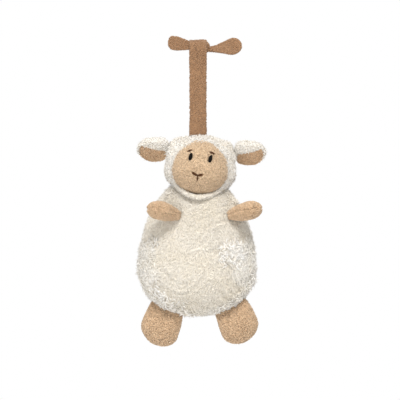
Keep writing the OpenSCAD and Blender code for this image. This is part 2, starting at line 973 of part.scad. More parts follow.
module pull_cord() {
    top = -strap_drop - strap_tuck - 2 * knot_r;
    color(fibre_white)
        translate([0, 0, drum_at[2]])
            cylinder(r = cord_r, h = top - drum_at[2]);
}

// ---------- nodes ----------

hang_strap();
tie_knot();
tie_end(1);  // left_tie_end
tie_end(-1);  // right_tie_end
cord_knot();
pull_cord();
torso_panel(front);  // torso_front_panel
torso_panel(back);  // torso_back_panel
torso_stuffing();
head_hood(front);  // head_hood_front
head_hood(back);  // head_hood_back
face_panel();
head_stuffing();
eye(1);  // left_eye
eye(-1);  // right_eye
brow(1);  // left_brow
brow(-1);  // right_brow
nose_and_mouth_stitch();
ear_frame(0) ear_plush();  // left_ear_plush
ear_frame(0) ear_lining();  // left_ear_lining
ear_frame(1) ear_plush();  // right_ear_plush
ear_frame(1) ear_lining();  // right_ear_lining
arm_frame(0) limb_cover(arm_form, back, arm_lean(0));  // left_arm_top
arm_frame(0) limb_cover(arm_form, front, arm_lean(0));  // left_arm_underside
arm_frame(0) limb_stuffing(arm_form, arm_lean(0));  // left_arm_stuffing
arm_frame(1) limb_cover(arm_form, back, arm_lean(1));  // right_arm_top
arm_frame(1) limb_cover(arm_form, front, arm_lean(1));  // right_arm_underside
arm_frame(1) limb_stuffing(arm_form, arm_lean(1));  // right_arm_stuffing
foot_frame(0) limb_cover(foot_form, front, foot_lean(0));  // left_foot_front
foot_frame(0) limb_cover(foot_form, back, foot_lean(0));  // left_foot_back
foot_frame(0) limb_stuffing(foot_form, foot_lean(0));  // left_foot_stuffing
foot_frame(1) limb_cover(foot_form, front, foot_lean(1));  // right_foot_front
foot_frame(1) limb_cover(foot_form, back, foot_lean(1));  // right_foot_back
foot_frame(1) limb_stuffing(foot_form, foot_lean(1));  // right_foot_stuffing
movement_case(-1);  // movement_case_front
movement_case(1);  // movement_case_back
case_screws();
cord_guide();
movement_frame();
comb();
comb_screws();
spring_barrel();
mainspring();
cord_drum();
drum_arbor();
wound_cord();
clutch_spring();
drive_gear();
pin_cylinder();
cylinder_arbor();
cylinder_pinion();
cylinder_wheel();
idler_gear();
fan_governor();
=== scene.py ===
"""Dresses the hanging lamb: curly plush, napped fleece, embroidery, the tied strap and the music movement."""

import json
import math

import bmesh
import bpy
import numpy as np
from mathutils import Matrix, Vector, noise
from mathutils.bvhtree import BVHTree


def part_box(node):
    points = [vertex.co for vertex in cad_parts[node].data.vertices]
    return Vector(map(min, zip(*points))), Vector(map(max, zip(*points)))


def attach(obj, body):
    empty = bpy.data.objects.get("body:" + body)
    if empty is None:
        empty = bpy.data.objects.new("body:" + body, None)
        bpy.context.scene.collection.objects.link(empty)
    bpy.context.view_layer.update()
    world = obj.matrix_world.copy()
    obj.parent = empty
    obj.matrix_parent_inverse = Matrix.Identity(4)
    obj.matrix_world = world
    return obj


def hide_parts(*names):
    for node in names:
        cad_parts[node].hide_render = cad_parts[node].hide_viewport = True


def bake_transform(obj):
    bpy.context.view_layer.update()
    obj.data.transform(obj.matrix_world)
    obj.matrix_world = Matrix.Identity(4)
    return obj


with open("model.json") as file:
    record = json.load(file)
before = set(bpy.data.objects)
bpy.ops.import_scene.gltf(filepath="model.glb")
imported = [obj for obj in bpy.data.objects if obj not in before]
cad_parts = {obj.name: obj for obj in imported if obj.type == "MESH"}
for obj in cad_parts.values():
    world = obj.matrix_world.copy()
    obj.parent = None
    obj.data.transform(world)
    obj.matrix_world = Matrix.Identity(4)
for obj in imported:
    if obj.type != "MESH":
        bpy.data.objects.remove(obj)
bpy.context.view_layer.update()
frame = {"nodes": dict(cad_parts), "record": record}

MM = 0.001

# ---------- the lamb's own sizes, in metres ----------

HEAD_AT = Vector((2.5, 0, -118)) * MM
HEAD_ROLL = math.radians(6)
HOOD_DROP = 7 * MM                                      # of the head's widest level below its middle
HEAD = (36.5 * MM, 31 * MM, 39 * MM, 25 * MM)           # half width, half depth, up and down
FACE_AT = Vector((0, -12, -5)) * MM                     # from the middle of the head, in its tilted frame
FACE = (28 * MM, 25 * MM, 31 * MM, 23 * MM)
TORSO_AT = Vector((-1, 4, -222)) * MM
TORSO = (59.5 * MM, 40 * MM, 94 * MM, 45 * MM)
SIDES = (("left", 1), ("right", -1))
STRAP_W = 17 * MM
LOOP_T = 3.0 * MM
EYE_R = 4.2 * MM
STRAP_LOW = -98 * MM

# ---------- small helpers ----------


def new_piece(name, bm, material, smooth=True):
    """A mesh piece of the lamb made from a bmesh, which is freed."""
    bmesh.ops.recalc_face_normals(bm, faces=bm.faces)
    mesh = bpy.data.meshes.new(name)
    bm.to_mesh(mesh)
    bm.free()
    mesh.polygons.foreach_set("use_smooth", [smooth] * len(mesh.polygons))
    piece = bpy.data.objects.new(name, mesh)
    bpy.context.collection.objects.link(piece)
    mesh.materials.append(material)
    return piece


def wear(piece, body):
    """The piece rides on a body."""
    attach(piece, body)
    return piece


def soft(value, edge):
    """0 below -edge, 1 above edge and smooth between."""
    t = np.clip((value / edge + 1) / 2, 0, 1)
    return t * t * (3 - 2 * t)


# ---------- materials ----------


def start_material(name):
    material = bpy.data.materials.new(name)
    material.use_nodes = True
    nodes = material.node_tree.nodes
    shader = nodes["Principled BSDF"]
    return material, nodes, material.node_tree.links, shader


def object_noise(nodes, links, scale, detail=2.0, rough=0.5, stretch=(1, 1, 1)):
    coords = nodes.new("ShaderNodeTexCoord")
    mapping = nodes.new("ShaderNodeMapping")
    mapping.inputs["Scale"].default_value = stretch
    texture = nodes.new("ShaderNodeTexNoise")
    texture.inputs["Scale"].default_value = scale
    texture.inputs["Detail"].default_value = detail
    texture.inputs["Roughness"].default_value = rough
    links.new(coords.outputs["Object"], mapping.inputs["Vector"])
    links.new(mapping.outputs["Vector"], texture.inputs["Vector"])
    return texture.outputs["Fac"]


def blend_colours(nodes, links, factor, dark, light, low=0.35, high=0.65):
    """A ramp from dark to light, driven by factor."""
    ramp = nodes.new("ShaderNodeValToRGB")
    ramp.color_ramp.elements[0].position = low
    ramp.color_ramp.elements[0].color = (*dark, 1)
    ramp.color_ramp.elements[1].position = high
    ramp.color_ramp.elements[1].color = (*light, 1)
    links.new(factor, ramp.inputs["Fac"])
    return ramp.outputs["Color"]


def multiply(nodes, links, a, b, amount=1.0):
    mix = nodes.new("ShaderNodeMix")
    mix.data_type = "RGBA"
    mix.blend_type = "MULTIPLY"
    mix.inputs["Factor"].default_value = amount
    links.new(a, mix.inputs["A"])
    links.new(b, mix.inputs["B"])
    return mix.outputs["Result"]


def add_bump(nodes, links, shader, height, strength, distance):
    bump = nodes.new("ShaderNodeBump")
    bump.inputs["Strength"].default_value = strength
    bump.inputs["Distance"].default_value = distance
    links.new(height, bump.inputs["Height"])
    links.new(bump.outputs["Normal"], shader.inputs["Normal"])


def fleece_material(name, colour, contrast=0.16):
    """Short napped fleece: nubs about a millimetre across and slow patches where the nap lies another way."""
    material, nodes, links, shader = start_material(name)
    grain = object_noise(nodes, links, 1100, 2)
    patch = object_noise(nodes, links, 120, 2)
    dark = tuple(c * (1 - contrast) for c in colour)
    light = tuple(min(1, c * (1 + contrast)) for c in colour)
    speckle = blend_colours(nodes, links, grain, dark, light)
    cloud = blend_colours(nodes, links, patch, (0.93, 0.92, 0.91), (1, 1, 1))
    tone = nodes.new("ShaderNodeAttribute")
    tone.attribute_name = "lock_tone"
    own = blend_colours(nodes, links, tone.outputs["Fac"], (0.66, 0.63, 0.59), (1.06, 1.06, 1.06), 0.0, 1.0)
    mottled = multiply(nodes, links, speckle, cloud)
    links.new(multiply(nodes, links, mottled, own), shader.inputs["Base Color"])
    add_bump(nodes, links, shader, grain, 0.5, 0.0006)
    shader.inputs["Roughness"].default_value = 0.95
    shader.inputs["Sheen Weight"].default_value = 0.25
    shader.inputs["Sheen Roughness"].default_value = 0.5
    return material


def plush_material(name, root, tip, curl_tip, shaded):
    """Long pile: painted shade darkens it towards the roots, where the locks shade each other; it is paler at
    the tips, and whiter still on the curls of the flanks.

    Each lock has a tone of its own.
    """
    material, nodes, links, shader = start_material(name)
    along = nodes.new("ShaderNodeAttribute")
    along.attribute_name = "along_lock"
    tone = nodes.new("ShaderNodeAttribute")
    tone.attribute_name = "lock_tone"
    curls = nodes.new("ShaderNodeAttribute")
    curls.attribute_name = "curl_share"
    end = blend_colours(nodes, links, curls.outputs["Fac"], tip, curl_tip, 0.0, 1.0)
    # painted shade: the root colour over the tip colour darkens each lock towards its root
    painted_root_shade = tuple(r / t for r, t in zip(root, tip))
    to_tip = blend_colours(nodes, links, along.outputs["Fac"], painted_root_shade, (1, 1, 1), 0.0, 0.75)
    gradient = multiply(nodes, links, end, to_tip)
    patch = object_noise(nodes, links, 45, 3)
    cloud = blend_colours(nodes, links, patch, (0.97, 0.955, 0.92), (1, 1, 1))
    own = blend_colours(nodes, links, tone.outputs["Fac"], shaded, (1, 1, 1), 0.0, 0.8)
    mottled = multiply(nodes, links, gradient, cloud)
    links.new(multiply(nodes, links, mottled, own), shader.inputs["Base Color"])
    shader.inputs["Roughness"].default_value = 0.9
    shader.inputs["Sheen Weight"].default_value = 0.3
    shader.inputs["Sheen Roughness"].default_value = 0.4
    return material


def thread_material(name, colour):
    material, nodes, links, shader = start_material(name)
    fibre = object_noise(nodes, links, 1800, 2, stretch=(1, 1, 0.3))
    light = tuple(min(1, c * 1.4) for c in colour)
    links.new(blend_colours(nodes, links, fibre, colour, light), shader.inputs["Base Color"])
    add_bump(nodes, links, shader, fibre, 0.3, 0.0002)
    shader.inputs["Roughness"].default_value = 0.6
    shader.inputs["Specular IOR Level"].default_value = 0.1
    return material


def hard_material(name, colour, roughness, metallic, scale, stretch=(1, 1, 1), bump=0.05):
    material, nodes, links, shader = start_material(name)
    grain = object_noise(nodes, links, scale, 4, stretch=stretch)
    dark = tuple(c * 0.88 for c in colour)
    links.new(blend_colours(nodes, links, grain, dark, colour), shader.inputs["Base Color"])
    add_bump(nodes, links, shader, grain, bump, 0.0002)
    shader.inputs["Roughness"].default_value = roughness
    shader.inputs["Metallic"].default_value = metallic
    return material


def fibre_material(name, colour, scale, bump):
    material, nodes, links, shader = start_material(name)
    fluff = object_noise(nodes, links, scale, 5, 0.7)
    dark = tuple(c * 0.75 for c in colour)
    links.new(blend_colours(nodes, links, fluff, dark, colour), shader.inputs["Base Color"])
    add_bump(nodes, links, shader, fluff, bump, 0.001)
    shader.inputs["Roughness"].default_value = 0.9
    return material


TAN = (0.74, 0.53, 0.34)
FACE_TAN = (0.76, 0.57, 0.38)
STRAP_BROWN = (0.45, 0.26, 0.137)
# The first colour of each plush is the painted shade at the roots of its locks.
plush = plush_material("curly cream plush", (0.8, 0.735, 0.625), (0.905, 0.86, 0.785), (0.93, 0.905, 0.865),
                       (0.95, 0.94, 0.92))
plush_white = plush_material("white head plush", (0.74, 0.67, 0.57), (0.94, 0.92, 0.89), (0.94, 0.92, 0.89),
                             (0.85, 0.82, 0.77))
plush_tuft = plush_material("white curls", (0.72, 0.66, 0.56), (0.97, 0.955, 0.93), (0.97, 0.955, 0.93),
                            (0.9, 0.88, 0.85))
backing = fibre_material("plush backing", (0.72, 0.66, 0.56), 500, 0.6)
tan_fleece = fleece_material("tan fleece", TAN)
face_fleece = fleece_material("face fleece", FACE_TAN)
# The lining's own pinkish tan, raised well above the cloth's brightness: painted light for the hollow, which
# faces down and gets little light.
lining_fleece = fleece_material("ear lining fleece", (0.9, 0.63, 0.41))
strap_fleece = fleece_material("strap fleece", STRAP_BROWN, 0.2)
black_thread = thread_material("black satin thread", (0.003, 0.0025, 0.002))
brown_thread = thread_material("brown thread", (0.07, 0.03, 0.013))
NODE_LOOKS = {
    "stuffing": fibre_material("polyester fibre", (0.85, 0.85, 0.82), 260, 1.0),
    "cord": fibre_material("braided cord", (0.8, 0.78, 0.7), 1500, 0.5),
    "case_plastic": hard_material("case plastic", (0.8, 0.8, 0.76), 0.45, 0, 900),
    "gear_plastic": hard_material("gear plastic", (0.7, 0.72, 0.66), 0.35, 0, 700, bump=0.02),
    "steel": hard_material("brushed steel", (0.62, 0.62, 0.64), 0.32, 1, 500, (0.06, 1, 1)),
    "brass": hard_material("turned brass", (0.75, 0.58, 0.28), 0.28, 1, 600, (0.06, 1, 1)),
}
for row in frame["record"]["subparts"]:
    look = NODE_LOOKS.get(row["material_slot"])
    if look:
        for place in frame["nodes"][row["node"]].material_slots:
            place.material = look

# ---------- locks and nubs of pile ----------


def lock_shape(cuts, bend, blunt):
    """One closed three-sided lock along +Z, one unit long and one unit in radius, that bends towards +X."""
    bm = bmesh.new()
    bmesh.ops.create_cone(bm, cap_ends=True, cap_tris=False, segments=3, radius1=1, radius2=blunt, depth=1,
                          matrix=Matrix.Translation((0, 0, 0.5)))
    for height in cuts:
        bmesh.ops.bisect_plane(bm, geom=bm.verts[:] + bm.edges[:] + bm.faces[:], plane_co=(0, 0, height),
                               plane_no=(0, 0, 1))
    if blunt < 0.01:
        bmesh.ops.remove_doubles(bm, verts=bm.verts, dist=0.05)
    bmesh.ops.triangulate(bm, faces=bm.faces)
    bmesh.ops.recalc_face_normals(bm, faces=bm.faces)
    points = np.array([v.co[:] for v in bm.verts])
    bm.verts.index_update()
    corners = np.array([[v.index for v in f.verts] for f in bm.faces])
    turn = np.round((np.degrees(np.arctan2(points[:, 1], points[:, 0])) % 360) / 120)
    uv = []
    for face in corners:
        sides = turn[face]
        if sides.max() - sides.min() > 1.5:
            sides = np.where(sides < 0.5, 3, sides)
        flat = np.ptp(points[face, 2]) < 1e-4
        for k, vertex in enumerate(face):
            uv.append((k * 0.02, 0.01) if flat else (sides[k] / 3.2, points[vertex, 2]))
    bm.free()
    bulge = 1 + 0.35 * np.sin(np.pi * np.clip(points[:, 2:3] * 1.3, 0, 1))
    points[:, :2] *= bulge
    points[:, 0] += bend * points[:, 2] ** 2
    return points, corners, np.array(uv)


def surface_of(piece):
    """The piece's points, normals, triangles and their areas, which are 0 where it wears a second material."""
    mesh = piece.data
    mesh.calc_loop_triangles()
    points = np.empty(len(mesh.vertices) * 3)
    mesh.vertices.foreach_get("co", points)
    normals = np.empty(len(mesh.vertices) * 3)
    mesh.vertices.foreach_get("normal", normals)
    corners = np.empty(len(mesh.loop_triangles) * 3, dtype=np.int64)
    mesh.loop_triangles.foreach_get("vertices", corners)
    corners = corners.reshape(-1, 3)
    points = points.reshape(-1, 3)
    first = np.array([mesh.polygons[t.polygon_index].material_index == 0 for t in mesh.loop_triangles])
    a, b, c = (points[corners[:, k]] for k in range(3))
    return points, normals.reshape(-1, 3), corners, np.linalg.norm(np.cross(b - a, c - a), axis=1) / 2 * first


def scatter(piece, count, seed, keep):
    """Seeded points and normals on a piece, thinned to where keep(points) is high."""
    rng = np.random.default_rng(seed)
    points, normals, corners, areas = surface_of(piece)
    chosen = rng.choice(len(corners), int(count * 1.1), p=areas / areas.sum())
    weights = rng.dirichlet((1, 1, 1), len(chosen))
    at = np.einsum("ij,ijk->ik", weights, points[corners[chosen]])
    up = np.einsum("ij,ijk->ik", weights, normals[corners[chosen]])
    kept = rng.random(len(at)) < keep(at)
    at, up = at[kept], up[kept]
    return at, up / np.linalg.norm(up, axis=1, keepdims=True), rng


def unit(vectors):
    return vectors / np.maximum(np.linalg.norm(vectors, axis=1, keepdims=True), 1e-9)


def grow_pile(name, piece, shape, count, seed, keep, length, width, lean, lay, material, body=None):
    """Covers a piece with locks, as closely as keep(at) says, and returns them as one piece.

    length(at) and width(at) are in metres. lay(at, up, rng) gives the way each lock leans, and lean how far.
    """
    at, up, rng = scatter(piece, count, seed, keep)
    total = len(at)
    way = lay(at, up, rng)
    way = unit(way - up * np.sum(way * up, axis=1, keepdims=True))
    spread = lean * (0.6 + 0.8 * rng.random((total, 1)))
    stem = unit(up + way * spread)
    side = unit(way - stem * np.sum(way * stem, axis=1, keepdims=True))
    cross = np.cross(stem, side)
    twist = rng.normal(0, 0.6, (total, 1))
    side, cross = side * np.cos(twist) + cross * np.sin(twist), cross * np.cos(twist) - side * np.sin(twist)
    long = (length(at) * (0.75 + 0.5 * rng.random(total)))[:, None, None]
    wide = (width(at) * (0.8 + 0.4 * rng.random(total)))[:, None, None]
    points, corners, uv = shape
    local = (points[None, :, 0:1] * wide * side[:, None, :] + points[None, :, 1:2] * wide * cross[:, None, :]
             + points[None, :, 2:3] * long * stem[:, None, :])
    placed = at[:, None, :] - up[:, None, :] * ROOT_DEPTH + local
    per_lock = len(points)
    faces = (corners[None] + (np.arange(total) * per_lock)[:, None, None]).reshape(-1, 3)
    mesh = bpy.data.meshes.new(name)
    mesh.vertices.add(total * per_lock)
    mesh.vertices.foreach_set("co", placed.ravel())
    mesh.loops.add(faces.size)
    mesh.loops.foreach_set("vertex_index", faces.ravel())
    mesh.polygons.add(len(faces))
    mesh.polygons.foreach_set("loop_start", np.arange(0, faces.size, 3))
    mesh.update(calc_edges=True)
    mesh.polygons.foreach_set("use_smooth", np.ones(len(faces), dtype=bool))
    along = mesh.attributes.new("along_lock", "FLOAT", "POINT")
    along.data.foreach_set("value", np.tile(points[:, 2], total))
    tone = mesh.attributes.new("lock_tone", "FLOAT", "POINT")
    tone.data.foreach_set("value", np.repeat(rng.random(total), per_lock))
    curls = mesh.attributes.new("curl_share", "FLOAT", "POINT")
    curls.data.foreach_set("value", np.repeat(flank(at), per_lock))
    grid = math.ceil(math.sqrt(total))
    cell = np.stack([np.arange(total) % grid, np.arange(total) // grid], axis=1)
    cells = (cell[:, None, :] + 0.08 + 0.84 * uv[None]) / grid
    mesh.uv_layers.new(name="OFBake").data.foreach_set("uv", cells.ravel())
    mesh.materials.append(material)
    pile = bpy.data.objects.new(name, mesh)
    bpy.context.collection.objects.link(pile)
    if body:
        wear(pile, body)
    return pile


ROOT_DEPTH = 0.0004                                      # of a lock's root under the skin, in metres
CURL = lock_shape((0.38, 0.72), 1.6, 0.0)
TUFT = lock_shape((0.3, 0.55, 0.8), 2.4, 0.0)
NUB = lock_shape((), 0.3, 0.55)


def everywhere(at):
    return np.ones(len(at))


def even(size):
    """The same size at every place."""
    return lambda at: np.full(len(at), size)


def every_way(at, up, rng):
    """Locks that lean whichever way they fall."""
    return rng.normal(0, 1, at.shape)


SHORT_NAP = 1.1 * MM                                     # on the strap, its tie and the ears' linings


def nap(piece, count, seed, material, body, size=0.9 * MM, keep=everywhere):
    """The short nap that stands on fleece."""
    return grow_pile(piece.name + "_nap", piece, NUB, count, seed, keep, even(size), even(0.5 * size), 0.5,
                     every_way, material, body)


# ---------- skins: eggs and limbs ----------


def face_narrow(z):
    """The face is narrower above its widest level, where the hood's plush closes in on it."""
    return 1 - 0.3 * np.clip((z - 8 * MM) / (23 * MM), 0, 1) ** 2


def egg(size, place, rings, narrow=None):
    """Two half ellipsoids that share their widest outline, put in place."""
    bm = bmesh.new()
    bmesh.ops.create_icosphere(bm, subdivisions=rings, radius=1)
    upper = [v for v in bm.verts if v.co.z >= 0]
    lower = [v for v in bm.verts if v.co.z < 0]
    bmesh.ops.scale(bm, vec=(size[0], size[1], size[2]), verts=upper)
    bmesh.ops.scale(bm, vec=(size[0], size[1], size[3]), verts=lower)
    if narrow:
        for v in upper:
            v.co.x *= narrow(v.co.z)
    bmesh.ops.transform(bm, matrix=place, verts=bm.verts)
    return bm


def inset(size, by):
    return tuple(s - by for s in size)


def move_skin(bm, move_of):
    """Moves every vertex by move_of(vertex), all of them worked out before the first one moves."""
    bm.normal_update()
    moves = [move_of(v) for v in bm.verts]
    for vertex, move in zip(bm.verts, moves):
        vertex.co += move


def lumpy(bm, height, scale, seed):
    """Uneven stuffing: moves the skin in and out along its normal."""
    move_skin(bm, lambda v: v.normal * (height * noise.noise(v.co * scale + Vector((seed, 0, 0)))))


def ripple(bm, height):
    """The soft sideways ripples of brushed pile."""
    def wave(at):
        return noise.noise(Vector((at.x * 32, at.y * 32, at.z * 150 + 4 * noise.noise(at * 30))))

    move_skin(bm, lambda v: v.normal * (height * wave(v.co)))


def near_segment(x, z, start, end):
    """The point of a segment nearest to x, z."""
    start, end, here = Vector(start), Vector(end), Vector((x, z))
    along = end - start
    return start + along * min(1, max(0, (here - start).dot(along) / along.length_squared))


def crease(bm, line, depth, reach):
    """A soft crease pressed into the front of a skin along a line of points in the X-Z plane."""
    def pressed(v):
        here = Vector((v.co.x, v.co.z))
        away = min((here - near_segment(v.co.x, v.co.z, a, b)).length for a, b in zip(line, line[1:]))
        return v.normal * -depth * math.exp(-(away / reach) ** 2) * (v.co.y < TORSO_AT.y)

    move_skin(bm, pressed)


HEAD_FRAME = Matrix.Translation(HEAD_AT) @ Matrix.Rotation(HEAD_ROLL, 4, "Y")
HEAD_PLACE = HEAD_FRAME @ Matrix.Translation((0, 0, -HOOD_DROP))
FACE_PLACE = HEAD_FRAME @ Matrix.Translation(FACE_AT)
TORSO_PLACE = Matrix.Translation(TORSO_AT)


def in_frame(at, place):
    """Points of the object in a place's own frame."""
    back = np.array(place.inverted())
    return at @ back[:3, :3].T + back[:3, 3]


def inside_egg(at, size, place, narrow=None):
    """How far points lie inside an egg: 1 at its middle, 0 on its skin and less outside."""
    local = in_frame(at, place)
    if narrow:
        local[:, 0] /= narrow(local[:, 2])
    tall = np.where(local[:, 2] > 0, size[2], size[3])
    x, y, z = local[:, 0], local[:, 1], local[:, 2]
    return 1 - np.sqrt((x / size[0]) ** 2 + (y / size[1]) ** 2 + (z / tall) ** 2)


def flank(at):
    """0 on the belly and chest, where the pile is short, and 1 on the flanks, the underside and the back."""
    x = (at[:, 0] - TORSO_AT.x) / TORSO[0]
    z = (at[:, 2] - TORSO_AT.z) / MM
    wave = 0.1 * np.sin(at[:, 2] / (9 * MM)) + 0.07 * np.sin(at[:, 2] / (4 * MM) + 2)
    edge = np.where(x < 0, 0.74 + z / 260, 0.66 + z / 420)
    side = soft(np.abs(x) - edge + wave, 0.12)
    under = soft(-z - 44 + 6 * np.sin(at[:, 0] / (8 * MM)), 7)
    behind = soft(at[:, 1] - TORSO_AT.y, 8 * MM)
    low = soft(55 - z, 14)
    return np.clip(np.maximum(np.maximum(side, under) * low, behind), 0, 1)


def combed(at, up, rng):
    """The belly's pile lies down and a little across, in slow waves, and the flanks' curls go every way."""
    curly = flank(at)[:, None]
    wave = np.sin(at[:, 2] / (16 * MM) + at[:, 0] / (25 * MM))[:, None]
    down = np.concatenate([0.9 * wave, np.zeros_like(wave), -np.ones_like(wave)], axis=1)
    return down * (1 - curly) + rng.normal(0, 1, at.shape) * (0.45 + curly)


torso_bm = egg((*inset(TORSO[:3], 2.3 * MM), TORSO[3]), TORSO_PLACE, 6)
lumpy(torso_bm, 1.0 * MM, 48, 1)
ripple(torso_bm, 1.4 * MM)
BELLY_CREASE = [(0.022, -0.199), (0.027, -0.212), (0.036, -0.224), (0.041, -0.242)]
crease(torso_bm, BELLY_CREASE, depth=2.2 * MM, reach=3.2 * MM)
torso = new_piece("torso_skin", torso_bm, backing)
wear(torso, "lamb")
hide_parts("torso_front_panel", "torso_back_panel")


def clear_of_limbs(at):
    """0 where an arm or a foot is sewn on, and 1 elsewhere."""
    free = np.ones(len(at))
    for place, reach in LIMB_ROOTS:
        local = in_frame(at, place)
        off_plane = np.maximum(np.abs(local[:, 1]), np.abs(local[:, 2]))
        near = np.maximum(np.abs(local[:, 0]) / reach[0], off_plane / reach[1])
        free = np.minimum(free, soft(near - 1, 0.15))
    return free


def torso_keep(front):
    def keep(at):
        out_of_head = soft(-inside_egg(at, HEAD, HEAD_PLACE) + 0.02, 0.03)
        half = at[:, 1] < TORSO_AT.y if front else at[:, 1] >= TORSO_AT.y
        return out_of_head * half * clear_of_limbs(at)
    return keep


# ---------- arms and feet ----------


def slope_turn(depth, x, across):
    """The turn of the torso's skin at x from its middle, where depth is the half size across it."""
    return math.atan(depth * x / TORSO[0] ** 2 / across)


def share(a, b=0.0):
    """The share of an egg's half size that is left at shares a and b of its other two."""
    return math.sqrt(max(0.01, 1 - a * a - b * b))


def arm_place(x, z, rise, out):
    """The frame of an arm's root on the front of the torso, and the turn of the skin there."""
    across = share((x - TORSO_AT.x) / TORSO[0], (z - TORSO_AT.z) / TORSO[2])
    turn = slope_turn(TORSO[1], x - TORSO_AT.x, across)
    y = TORSO_AT.y - TORSO[1] * across - out
    return (Matrix.Translation((x, y, z)) @ Matrix.Rotation(turn, 4, "Z")
            @ Matrix.Rotation(math.pi / 2 - rise, 4, "X")), turn


def foot_place(x, side, out):
    """The frame of a foot's root under the torso, and the turn of the skin there."""
    across = share((x - TORSO_AT.x) / TORSO[0])
    turn = slope_turn(TORSO[3], abs(x - TORSO_AT.x), across)
    z = TORSO_AT.z - TORSO[3] * across - out
    return Matrix.Translation((x, TORSO_AT.y, z)) @ Matrix.Rotation(math.pi - side * turn, 4, "Y"), turn


ARM = dict(half=10.2 * MM, thick=7.7 * MM, tip=11.5 * MM, root=32.1 * MM, middle=18.5 * MM, pinch=3.2 * MM)
FOOT = dict(half=18.5 * MM, thick=12 * MM, tip=14.7 * MM, root=45.5 * MM, middle=20.3 * MM, pinch=3.6 * MM)
ARMS = {"left": (37 * MM, math.radians(48)), "right": (-26 * MM, math.radians(38))}
FEET = {"left": (33.5 * MM, math.radians(24)), "right": (-31.5 * MM, math.radians(19))}
ARM_Z = -167 * MM
limb_places = {}
for name, side in SIDES:
    x, yaw = ARMS[name]
    place, turn = arm_place(x, ARM_Z, math.radians(13), 2.4 * MM)
    limb_places[name + "_arm"] = (place, math.tan(side * yaw - turn), ARM)
    x, splay = FEET[name]
    place, turn = foot_place(x, side, 2.2 * MM)
    limb_places[name + "_foot"] = (place, side * math.tan(turn - splay), FOOT)
SEAM_HALF = 0.5 * MM                                     # half the width of a limb's seam that no nap covers
LIMB_ROOTS = []                                          # the place of each root, and how far it reaches
for place, _, form in limb_places.values():
    LIMB_ROOTS.append((place, (form["half"] * 0.78, form["pinch"] + 0.6 * MM)))


def limb_skin(form, place, lean, seam_depth):
    """A stuffed limb of two pieces that meet in a seam round its edge, pinched flat where it is sewn on."""
    bm = bmesh.new()
    bmesh.ops.create_uvsphere(bm, u_segments=112, v_segments=72, radius=1)
    for v in bm.verts:
        tall = form["tip"] if v.co.z > 0 else form["root"]
        x, y, z = v.co.x * form["half"], v.co.y * form["thick"], form["middle"] + v.co.z * tall
        z = max(z, -2.4 * MM)
        limit = form["pinch"] + 0.4 * MM + max(0, z) * math.tan(math.radians(30))
        y /= (1 + (abs(y) / limit) ** 6) ** (1 / 6)
        groove = math.exp(-(y / (1.0 * MM)) ** 2) * seam_depth
        radial = Vector((v.co.x, v.co.y, v.co.z)).normalized()
        v.co = Vector((x, y, z)) - radial * groove
    lumpy(bm, 0.7 * MM, 70, 3)
    for v in bm.verts:
        v.co.x += lean * max(0, v.co.z)
    bmesh.ops.remove_doubles(bm, verts=bm.verts, dist=1e-6)
    bmesh.ops.transform(bm, matrix=place, verts=bm.verts)
    return bm


for limb, (place, lean, form) in limb_places.items():
    is_arm = limb.endswith("arm")
    skin = new_piece(limb, limb_skin(form, place, lean, 1.2 * MM if is_arm else 0.8 * MM), tan_fleece)
    wear(skin, limb)
    halves = ("_top", "_underside") if is_arm else ("_front", "_back")
    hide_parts(*(limb + half for half in halves))
    back = np.array(place.inverted())

    def off_seam(at, back=back):
        across = at @ back[1, :3] + back[1, 3]
        return soft(np.abs(across) - SEAM_HALF, SEAM_HALF)

    nap(skin, 5000 if is_arm else 9000, 11, tan_fleece, limb, 1.8 * MM, off_seam)



def curl_length(at):
    return (3.4 + 2.0 * flank(at)) * MM


def curl_width(at):
    return (0.62 + 0.4 * flank(at)) * MM


for half, seed, count in (("front", 21, 21000), ("back", 22, 12000)):
    for layer in (0, 1):
        grow_pile(f"torso_pile_{half}_{layer + 1}", torso, CURL, count, seed + 10 * layer,
                  torso_keep(half == "front"), curl_length, curl_width, 1.4, combed, plush, "lamb")


def tufts(at):
    """1 where the flanks' long curls stand out: low on one side, and in a patch over the other foot."""
    x, z = (at[:, 0] - TORSO_AT.x) / MM, at[:, 2] / MM
    rim = np.hypot(x / 59.5, (z + 222) / np.where(z > -222, 94, 45))
    low_side = soft(rim - 0.8 + 0.05 * np.sin(z / 4), 0.1) * soft(-z - 196, 8) * soft(-x - 8, 10)
    patch = soft(1 - np.hypot((x - 34) / 11, (z + 207) / 11), 0.35)
    other = soft(rim - 0.88, 0.06) * soft(-z - 196, 10) * soft(x - 20, 8) * 0.6
    return np.maximum(np.maximum(low_side, patch), other) * (at[:, 1] < 12 * MM)


grow_pile("torso_tufts", torso, TUFT, 26000, 35, lambda at: tufts(at) * 0.5 * torso_keep(True)(at),
          even(6.2 * MM), even(1.3 * MM), 0.9, every_way, plush_tuft, "lamb")


def foot_edge(at):
    """1 on the torso's skin round the roots of the feet."""
    edge = np.zeros(len(at))
    for place, reach in LIMB_ROOTS[1::2]:
        local = in_frame(at, place)
        near = np.maximum(np.abs(local[:, 0]) / (reach[0] + 3 * MM),
                          np.abs(local[:, 1]) / (reach[1] + 6 * MM))
        edge = np.maximum(edge, (near < 1) & (local[:, 2] < 12 * MM))
    return edge * clear_of_limbs(at)


def forwards_and_down(at, up, rng):
    return np.array((0, -0.5, -1)) + rng.normal(0, 0.5, at.shape)


grow_pile("torso_foot_fringe", torso, CURL, 40000, 36, foot_edge, even(5.4 * MM), even(1.1 * MM), 1.3,
          forwards_and_down, plush, "lamb")

# ---------- head and face ----------

EAR_SEAMS = {"left": 14 * MM, "right": 17.5 * MM}        # height above the middle of the head


def ear_seam(side, z):
    """The middle of an ear's seam."""
    reach = HEAD[0] * share((z + HOOD_DROP) / HEAD[2]) + 1.5 * MM
    return Vector((HEAD_AT.x + side * reach, 0, HEAD_AT.z + z))


